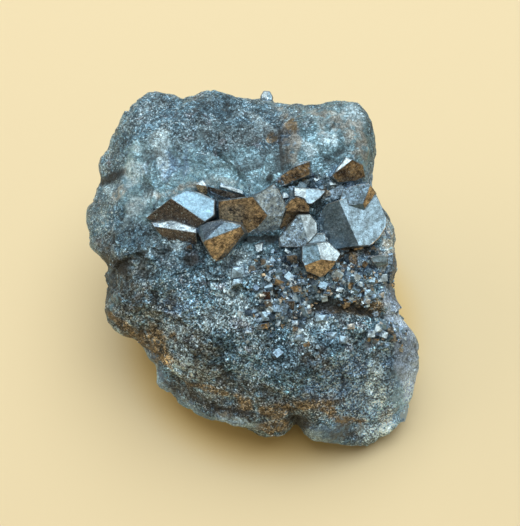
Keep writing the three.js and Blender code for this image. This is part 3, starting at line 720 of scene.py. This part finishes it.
# The six squares don't all wind the same way, so each quad is turned to face out.
middle, normal, _ = faceFrames(skinShape, skinFaces)
inward = np.einsum("nd,nd->n", middle, normal) < 0
skinFaces[inward] = skinFaces[inward][:, ::-1]
skinNotes = surfaceNotes(skinShape)
# deep: how far the skin sinks below the lump's body, which the ore darkens with painted shade
level = np.linalg.norm(skinShape, axis=1) - lumpRadius(directions)
skinNotes["deep"] = smooth(-level, 0.05, 0.6)
oreSkin = makePiece("ore_skin", skinShape, skinFaces, oreMaterial, skinNotes)
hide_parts("ore_mass")
print("ore skin done", len(skinFaces) * 2, "triangles")

grains = {
    "spread": 0.35, "sink": 0.75,
    "clouds": [  # name, count, middle size in mm, and whether they lie on the front
        ("ore_grains_fine", 17000, 0.175, True), ("ore_grains_coarse", 13000, 0.23, True),
        ("ore_grains_back", 12000, 0.34, False),
    ],
}


def frontWeight(p):  # grains gather in patches and keep off the calm and quartz zones
    patchy = 0.25 + 0.75 * smooth(wander(p, 5, 8), -0.5, 0.4)
    return smooth(p[:, 2], -6, 4) * (1 - 0.9 * zone(p, "calm")) * (1 - zone(p, "quartz")) * patchy


def backWeight(p):
    return 1 - smooth(p[:, 2], -8, 0)


def grainSizes(count, middleSize, spread=grains["spread"]):
    return middleSize * np.exp(spread * rng.normal(size=count)).clip(0.5, 2.2)


for name, count, size, inFront in grains["clouds"]:
    places, normals = scatter(skinShape, skinFaces, frontWeight if inFront else backWeight, count)
    sizes = grainSizes(count, size)
    grainCloud(name, octahedron(), places, normals, sizes, grains["sink"], grainMaterial)
print("grains done")

looks = {  # how each face is coloured, which paints the light on the crystals: bronzed (partly tarnish, partly painted reflection of the floor), darkened (painted shade), reddened, paled (painted highlight), crusted
    "gold": (1, 0, 0, 0, 0), "brown": (1, 0.4, 0.35, 0, 0.2), "umber": (0.65, 0.78, 0.7, 0, 0.12),
    "ochre": (1, 0, 0, 0, 0.5), "olive": (0.7, 0.5, 0, 0, 0.4), "tan": (0.6, 0, 0, 0.3, 0),
    "red": (1, 0.2, 1, 0, 0), "shadow": (0.8, 0.85, 0.5, 0, 0), "side": (0.3, 0.55, 0, 0, 0.5),
    "sky": (0, 0.25, 0, 0, 0), "blue": (0, 0.2, 0, 0.25, 0.1), "white": (0, 0, 0, 0.85, 0),
    "grey": (0, 0.1, 0, 0.4, 1), "ash": (0, 0.03, 0, 0.85, 0.74), "crustedHighlight": (0, 0.1, 0, 0.8, 0.6),
    "slate": (0, 0.45, 0, 0.1, 0.7), "dark": (0, 0.6, 0, 0, 0.3), "black": (0, 0.9, 0, 0, 0),
}
crystals = {  # the look of each face, which is known by how it climbs per mm of u and of v
    # the lower blade's top face: painted highlight, partly crusted
    "lower_blade": [(0.05, -0.4, "crustedHighlight"), (0.24, 0.83, "umber")],
    "front_crystal": [(-0.12, 0.6, "gold"), (0.22, -0.29, "slate"), (0.57, -0.64, "black"),
                      (1.15, -0.47, "dark"), (-0.63, 1.08, "brown")],
    "left_blade": [(-0.1, -0.25, "sky"), (0.41, 0.49, "umber")],
    "centre_crystal": [(0.12, 0.62, "gold"), (-0.27, 0.34, "ash"), (-0.27, 1.07, "ash")],
    "gold_ledge": [(0.1, 0.45, "ochre"), (0.35, -0.3, "grey")],
    "round_crystal": [(-0.1, 0.62, "gold"), (-0.1, 1.3, "brown"), (-0.2, 0.6, "brown")],
    "bright_wedge": [(0.18, -0.28, "white"), (-0.08, -0.26, "blue")],
    "pale_block": [(-0.34, -0.08, "white"), (0.3, 0.1, "grey"), (-0.15, -0.1, "blue")],
    "right_cluster": [(-0.24, -0.2, "blue"), (0.5, 0.12, "dark"), (0.16, -0.1, "slate"), (-1.1, 0.35, "gold"),
                      (0.1, 0.9, "dark")],
    "corner_crystal": [(-0.72, 0.58, "brown"), (-0.05, -0.3, "white")],
    "low_crystal": [(-0.1, 0.8, "gold"), (0.22, -0.1, "sky"), (-0.2, -0.2, "white")],
    "gold_bead": [(0.1, 0.8, "gold"), (-0.1, -0.3, "white")],
    "small_cube": [(0.05, -0.2, "white")],
    "brow_crystal": [(-0.2, 0.1, "blue"), (-0.2, 0.7, "dark")],
    "quartz_chip": [(-0.2, 0.35, "white")],
    "edge_crystal": [(0.35, -0.3, "white"), (-0.35, -0.2, "blue")],
}
cut = {
    "weld": 0.004,  # corners nearer than this are one, mm
    "flat": 1.5, "sharp": 12,  # faces closer than one angle are merged, edges past the other worn, degrees
    "match": 14,  # how far a face may lean from its row above and still take its look, degrees
    "edge": 0.05,  # width of the worn edge, mm
    "mesh": 0.5, "halvings": 5,  # longest edge of the finished mesh, mm, and the most cuts to reach it
    "swell": 0.13,  # how far the sides move out to close the gaps between neighbours, mm
    "sway": 0.16, "swaySize": 3.0,  # how far the faces wander from flat, and over what distance, mm
    "ripple": 0.06, "rippleSize": 0.8,
    "dirtHeight": 0.9,  # ore clings to the lowest part of each crystal, mm
}
collar = {"perArea": 2.2, "size": 0.26, "sink": 0.3, "reach": 0.45}  # grains where a crystal leaves the ore
slotOf = {part["node"]: part["material_slot"] for part in frame["record"]["subparts"]}


def readRows(items, name, kind=float):  # three numbers for each point or face
    values = np.empty(len(items) * 3, kind)
    items.foreach_get(name, values)
    return values.reshape(-1, 3)


def writeLooks(mesh, faceLooks):
    for column, key in enumerate(("bronze", "shade", "red", "chalky", "crusted")):
        writeNote(mesh, key, faceLooks[:, column], "FACE")


def writeBuried(mesh, points):  # 1 where ore covers the foot of the crystal, fading to 0 higher up
    writeNote(mesh, "buried", 1 - smooth(riseAbove(points), 0, cut["dirtHeight"]))


def crystalPiece(node, faces):
    # A welded copy of the CAD crystal with worn edges, cut fine enough for its faces to wander from
    # flat: each point moves along its normal by two scales of smooth noise.
    form = bmesh.new()
    form.from_mesh(frame["nodes"][node].data)
    bmesh.ops.remove_doubles(form, verts=form.verts, dist=cut["weld"] * mm)
    flat = radians(cut["flat"])
    bmesh.ops.dissolve_limit(form, angle_limit=flat, verts=form.verts, edges=form.edges)
    edges = [e for e in form.edges if e.calc_face_angle(0) > radians(cut["sharp"])]
    bmesh.ops.bevel(form, geom=edges, offset=cut["edge"] * mm, segments=1, affect="EDGES",
                    clamp_overlap=True)
    bmesh.ops.triangulate(form, faces=form.faces)
    for _ in range(cut["halvings"]):
        long = [e for e in form.edges if e.calc_length() > cut["mesh"] * mm]
        if long:
            bmesh.ops.subdivide_edges(form, edges=long, cuts=1, use_grid_fill=False)
            bmesh.ops.triangulate(form, faces=form.faces)
    mesh = bpy.data.meshes.new(node + "_crystal")
    form.to_mesh(mesh)
    form.free()
    faceNormals = readRows(mesh.polygons, "normal") @ leanTurn
    known = unit(np.array([(-u, -v, 1) for u, v, _ in faces]))
    match = faceNormals @ known.T
    # faces that match none listed are walls: the side look, crusted and darkened with painted shade
    table = np.array([looks[look] for _, _, look in faces] + [looks["side"]], float)
    found = match.max(1) > cos(radians(cut["match"]))
    writeLooks(mesh, table[np.where(found, match.argmax(1), len(faces))])
    points = toLump(readRows(mesh.vertices, "co"))
    normals = readRows(mesh.vertices, "normal") @ leanTurn
    push = cut["sway"] * wander(points, cut["swaySize"], 21)
    push += cut["ripple"] * wander(points, cut["rippleSize"], 22)
    push += cut["swell"] * (1 - normals[:, 2] ** 2)
    points = points + normals * push[:, None]
    mesh.vertices.foreach_set("co", toRow(points).ravel())
    mesh.update()
    writeBuried(mesh, points)
    mesh.materials.append(quartzMaterial if slotOf[node] == "quartz" else crystalMaterial)
    piece = addObject(node + "_crystal", mesh)
    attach(piece, "root")
    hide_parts(node)
    return piece


collarSpots = []
for node, faces in crystals.items():
    piece = crystalPiece(node, faces)
    corners = readRows(piece.data.polygons, "vertices", int)[:, [0, 1, 2, 2]]
    points = toLump(readRows(piece.data.vertices, "co"))
    middle, normal, area = faceFrames(points, corners)
    nearFoot = np.exp(-((riseAbove(middle) / collar["reach"]) ** 2))
    count = int(collar["perArea"] * (area * nearFoot).sum() / collar["size"] ** 2 / 4)
    if count:
        collarSpots.append(scatter(points, corners, lambda _: nearFoot + 1e-9, count))
places, normals = (np.concatenate(spots) for spots in zip(*collarSpots))
sizes = grainSizes(len(places), collar["size"])
grainCloud("ore_grains_collar", octahedron(), places, normals, sizes, collar["sink"], grainMaterial)
print("crystals done", len(places), "collar grains")

smallCrystals = [  # set one by one: centre u, v, half-length, half-width, turn, look if it isn't white
    (3.4, 0.3, 0.6, 0.35, 20), (3.6, -0.8, 0.7, 0.3, 25), (4.9, -0.2, 0.5, 0.25, -35),
    (2.7, -2.1, 0.65, 0.5, -40), (5.3, -2.3, 0.7, 0.45, -25), (5.2, 1.1, 0.8, 0.5, 0, "blue"),
    (6.7, 3, 0.7, 0.3, -35), (7.5, 1.5, 1.2, 0.9, 0, "olive"), (4.9, -3.1, 1, 0.6, -20, "gold"),
    (2.45, -5.4, 0.8, 0.8, 0, "red"), (8, -4.3, 0.8, 0.8, 20, "gold"), (8.9, -4.5, 0.35, 0.5, 0, "tan"),
    (9.2, -2.8, 0.8, 0.7, 0, "slate"), (7.4, -5.4, 0.6, 0.2, -55), (6.9, -6.2, 0.6, 0.2, -25),
    (7, -7.4, 1, 1, 0, "umber"), (4.9, -7.9, 0.6, 0.3, -10), (5.2, -9.3, 1.2, 1.3, 10, "olive"),
    (8.8, -6.6, 0.5, 0.5, 0, "tan"), (10.6, -8.1, 0.7, 0.15, -25), (8, -10.6, 0.7, 0.55, 5),
    (8.3, -11.9, 0.5, 0.4, 0, "red"), (1.7, -11.3, 1.2, 0.6, 10, "gold"), (2.6, -9.3, 1, 0.9, 10, "blue"),
    (2.9, -8.6, 0.5, 0.4, -20), (0.5, -9.2, 0.5, 0.3, 35), (1, -10.2, 0.8, 0.5, 20, "blue"),
    (9, -13.5, 0.9, 0.6, -10, "blue"), (12.8, -9.7, 0.9, 0.7, -20, "blue"), (-3, -1, 1.2, 1, 10, "blue"),
    (-3.1, -2.7, 0.9, 0.6, 5, "blue"), (-1.3, -1.2, 0.6, 0.25, -55, "blue"), (-0.9, -12.1, 0.7, 0.5, 0),
    (0.9, 2.1, 0.3, 0.2, 0), (25.4, -2.1, 1, 0.8, 10), (26.7, -1.3, 0.4, 0.3, 0),
    (26.6, -0.3, 0.6, 0.6, 20, "slate"), (26.8, 1.6, 0.7, 1.1, 0, "grey"), (19.7, -1.2, 0.35, 0.6, -10),
    (18.5, -0.3, 0.4, 0.4, 0, "blue"), (20.8, -3.1, 0.5, 0.6, 10), (23.5, -3.7, 0.8, 0.25, 40),
    (16.7, -4.3, 0.6, 0.45, -20), (18.2, -6, 1, 0.15, -5), (22, -6.6, 0.7, 0.45, -10, "tan"),
    (22.2, -4.9, 0.6, 0.6, 0, "blue"), (23.5, -5.6, 0.5, 0.6, 0, "blue"), (23.7, -6.5, 0.25, 0.2, 0),
    (25.2, -4.6, 0.6, 0.5, 0, "slate"), (14.3, -4.4, 0.2, 0.2, 0), (14.3, -3.2, 0.12, 0.5, 20, "blue"),
    (18.2, -2.2, 0.8, 0.6, -10, "slate"), (18.8, -6.8, 1.2, 0.3, 20, "gold"),
    (15.4, -1.1, 0.9, 0.8, 10, "olive"), (17.3, -3.1, 0.8, 0.4, -30, "olive"),
    (24.8, -5.4, 0.8, 0.5, 0, "tan"), (24, -9.3, 0.6, 0.5, 20, "tan"), (28.6, -8.8, 0.8, 0.3, -20, "blue"),
    (28, -11.1, 0.6, 0.25, -35), (29.5, -12.6, 0.7, 0.6, 0, "blue"), (23, -12.9, 0.7, 0.8, -10),
    (25.5, -13.1, 0.8, 0.6, -20), (23.6, -14.5, 1, 0.7, 0, "gold"), (24.9, -14.8, 0.5, 0.6, 0, "tan"),
    (26.3, -15.5, 0.6, 0.5, 0, "slate"), (25, -11.3, 0.6, 0.5, -40, "tan"),
    (18.9, -11.4, 0.7, 0.5, 0, "tan"), (15.3, -13.2, 0.9, 0.8, 0, "blue"), (17.2, -14, 0.7, 0.8, 0, "blue"),
    (13.2, -9.9, 1.2, 0.8, 0, "blue"), (6.2, 14.1, 0.6, 0.6, 0), (7.5, 14.6, 0.5, 1.3, 5, "slate"),
    (15.5, 16.4, 0.7, 0.5, 0), (-7.1, 10.9, 0.7, 2.1, 3, "dark"), (6.4, 17.1, 0.8, 0.5, 25, "gold"),
    (8.2, 18.4, 0.7, 0.45, 40, "olive"), (9.7, 20, 0.7, 0.5, 30, "gold"), (5, 16.5, 0.5, 0.4, 10, "gold"),
    # the long shadow block is a dark block laid where the wedge above the centre crystal lies in shade; the
    # thin white block beside it is a painted highlight on the crest above
    (-5.3, 14.1, 4.4, 0.9, -14, "shadow"), (-4.2, 15.3, 2.8, 0.4, -18), (10.8, 18.6, 0.5, 0.8, 0, "grey"),
    (16.4, 14.6, 1.9, 1.2, 25, "grey"), (14.6, 13.4, 0.6, 0.5, -20, "blue"),
    (4.6, 12.9, 0.6, 0.8, 10, "grey"), (5.3, 10.2, 0.5, 0.9, 0, "olive"),
    (-12.6, 3.6, 0.8, 0.5, 20, "umber"), (-16.6, 6.2, 0.7, 0.3, -20, "blue"), (-19.6, 9.3, 0.6, 0.3, 10),
    (14.4, 5.6, 0.5, 0.4, 0), (13.4, 7.7, 0.5, 0.7, 0, "slate"), (17.8, 3.3, 1, 0.4, 0, "umber"),
    (20.6, 3.5, 1, 0.4, 8, "gold"), (23.2, 3.6, 0.8, 0.5, 20, "olive"), (26.6, 6.4, 0.6, 0.8, 0, "tan"),
    (8.4, 3.7, 0.7, 0.4, 0, "dark"),
]


smallCut = {
    "lift": 0.15, "stand": 0.35, "peak": 0.3,  # mm above the skin, then parts of the smaller half-width
    "footSpread": 1.25, "footDepth": 1.4,  # the buried foot: width over the rim's, mm below the rim
    "uneven": (-0.35, 0.15), "apex": 0.55, "tilt": 0.08,  # how far rim, apex and lean stray
    "lean": {  # climb of the top per mm of u and of v
        "white": (-0.1, -0.25), "blue": (-0.1, -0.15), "gold": (0, 0.7), "umber": (0.2, 0.6),
        "olive": (0.1, 0.5), "dark": (0.6, 0), "red": (0, 0.5), "shadow": (0.1, 0.7),
    },
}


def faceHeight(u, v, halvings=14):  # w of the fine skin over (u, v), found by halving the span that holds it
    low, high = np.zeros_like(u), np.full_like(u, 2 * lump["frontDepth"])
    for _ in range(halvings):
        w = (low + high) / 2
        inside = riseAbove(np.stack([u, v, w], -1)) < 0
        low, high = np.where(inside, w, low), np.where(inside, high, w)
    return low


def smallCrystalPiece():
    # Squat four-sided blocks, spreading down to a buried foot, under a low lopsided pyramid: an uneven
    # rim that leans by the block's look, and an apex off centre.
    u, v, long, wide, turn = np.array([row[:5] for row in smallCrystals], float).T
    names = [(*row, "white")[5] for row in smallCrystals]
    count = len(names)
    corner = np.array([(-1, -1), (1, -1), (1, 1), (-1, 1)], float)
    corner = corner * (1 + rng.uniform(*smallCut["uneven"], (count, 4, 2)))
    apex = rng.uniform(-smallCut["apex"], smallCut["apex"], (count, 1, 2))
    corner = np.concatenate([corner, apex], 1)
    corner *= np.stack([long, wide], -1)[:, None]
    a = np.radians(turn)[:, None]
    du = corner[..., 0] * np.cos(a) - corner[..., 1] * np.sin(a)
    dv = corner[..., 0] * np.sin(a) + corner[..., 1] * np.cos(a)
    climb = np.array([smallCut["lean"].get(name, (0, 0)) for name in names])
    climb = climb + rng.uniform(-smallCut["tilt"], smallCut["tilt"], (count, 2))
    small = np.minimum(long, wide)
    middle = (faceHeight(u, v) + smallCut["lift"] + smallCut["stand"] * small)[:, None]
    height = middle + climb[:, :1] * du + climb[:, 1:] * dv
    height[:, 4] += smallCut["peak"] * small
    u, v, wider = u[:, None], v[:, None], smallCut["footSpread"]
    top = np.stack([u + du, v + dv, height], -1)
    depth = np.repeat(middle - smallCut["footDepth"], 5, 1)
    foot = np.stack([u + wider * du, v + wider * dv, depth], -1)
    points = np.concatenate([foot[:, :4], top], 1).reshape(-1, 3)
    block = np.array([[3, 2, 1], [3, 1, 0], [0, 1, 5], [0, 5, 4], [1, 2, 6], [1, 6, 5], [2, 3, 7], [2, 7, 6],
                      [3, 0, 4], [3, 4, 7], [4, 5, 8], [5, 6, 8], [6, 7, 8], [7, 4, 8]])
    faces = (block[None] + 9 * np.arange(count)[:, None, None]).reshape(-1, 3)
    piece = makePiece("small_crystals", points, faces, crystalMaterial)
    faceLooks = np.repeat(np.array([looks[name] for name in names], float), len(block), 0)
    # the sides take the side look, crusted and darkened with painted shade
    isSide = np.tile(np.arange(len(block)) < 10, count)
    faceLooks[isSide] = looks["side"]
    writeLooks(piece.data, faceLooks)
    writeBuried(piece.data, points)


smallCrystalPiece()

druse = {  # tiny crystals crowded over the glint zone, and how often each look turns up: the white ones stand for painted glints, the dark and black ones for painted shade
    "cubes": 430, "points": 560, "size": 0.43, "spread": 0.5, "sink": 0.2,
    "looks": {"white": 0.17, "blue": 0.14, "slate": 0.15, "dark": 0.14, "black": 0.20, "olive": 0.10,
              "gold": 0.07, "tan": 0.03},
}


def drusePiece(name, shape, count):
    places, normals = scatter(skinShape, skinFaces, lambda p: zone(p, "glint") + 1e-6, count)
    sizes = grainSizes(count, druse["size"], druse["spread"])
    piece = grainCloud(name, shape, places, normals, sizes, druse["sink"], crystalMaterial)
    chance = np.array(list(druse["looks"].values()))
    corners = len(shape[1])
    pick = rng.choice(len(chance), size=len(piece.data.polygons) // corners, p=chance / chance.sum())
    table = np.array([looks[look] for look in druse["looks"]], float)
    writeLooks(piece.data, np.repeat(table[pick], corners, 0))


drusePiece("druse_cubes", cube(), druse["cubes"])
drusePiece("druse_points", octahedron(), druse["points"])
print("small crystals done")

stage = {  # metres, watts
    "floorSize": 3.0, "floorDrop": 0.05 * mm,
    "world": (1.0, 0.85, 0.60, 1), "worldStrength": 0.26,
    "keyPlace": (0.08, 0.30, 0.85), "keySize": 1.2, "keyPower": 11.0, "keyColour": (0.84, 0.94, 1.0),
    "fillPlace": (-0.8, 0.15, 0.5), "fillSize": 0.8, "fillPower": 1.8, "fillColour": (1.0, 0.93, 0.82),
    "lens": 60.0, "distance": 184.0,  # mm, from the middle of the lump along w
    "aim": (1.26, 0.84),  # where the camera points, in u and v
    "lightAim": (0, 0, 0.02),
}


def makeFloor():
    half, z = stage["floorSize"] / 2, -stage["floorDrop"]
    mesh = bpy.data.meshes.new("floor")
    corners = [(-half, -half, z), (half, -half, z), (half, half, z), (-half, half, z)]
    mesh.from_pydata(corners, [], [(0, 1, 2, 3)])
    mesh.materials.append(floorPaint())
    floor = addObject("floor", mesh)


def makeLight(name, place, size, power, colour):
    light = bpy.data.lights.new(name, "AREA")
    light.shape, light.size, light.energy, light.color = "DISK", size, power, colour
    lamp = addObject(name, light)
    lamp.location = place
    towards = Vector(stage["lightAim"]) - Vector(place)
    lamp.rotation_euler = towards.to_track_quat("-Z", "Y").to_euler()


makeFloor()
for name in ("key", "fill"):
    makeLight(name, *(stage[name + key] for key in ("Place", "Size", "Power", "Colour")))
world = bpy.data.worlds.new("studio")
world.use_nodes = True
for key, value in {"Color": stage["world"], "Strength": stage["worldStrength"]}.items():
    world.node_tree.nodes["Background"].inputs[key].default_value = value
bpy.context.scene.world = world

camera = bpy.data.cameras.new("camera")
camera.lens, camera.clip_start = stage["lens"], 0.005
eye = addObject("camera", camera)
eye.location = toRow(np.array([*stage["aim"], stage["distance"]]))
eye.rotation_euler = (lump["lean"], 0, 0)
bpy.context.scene.camera = eye
bpy.context.scene.view_settings.view_transform = "Standard"
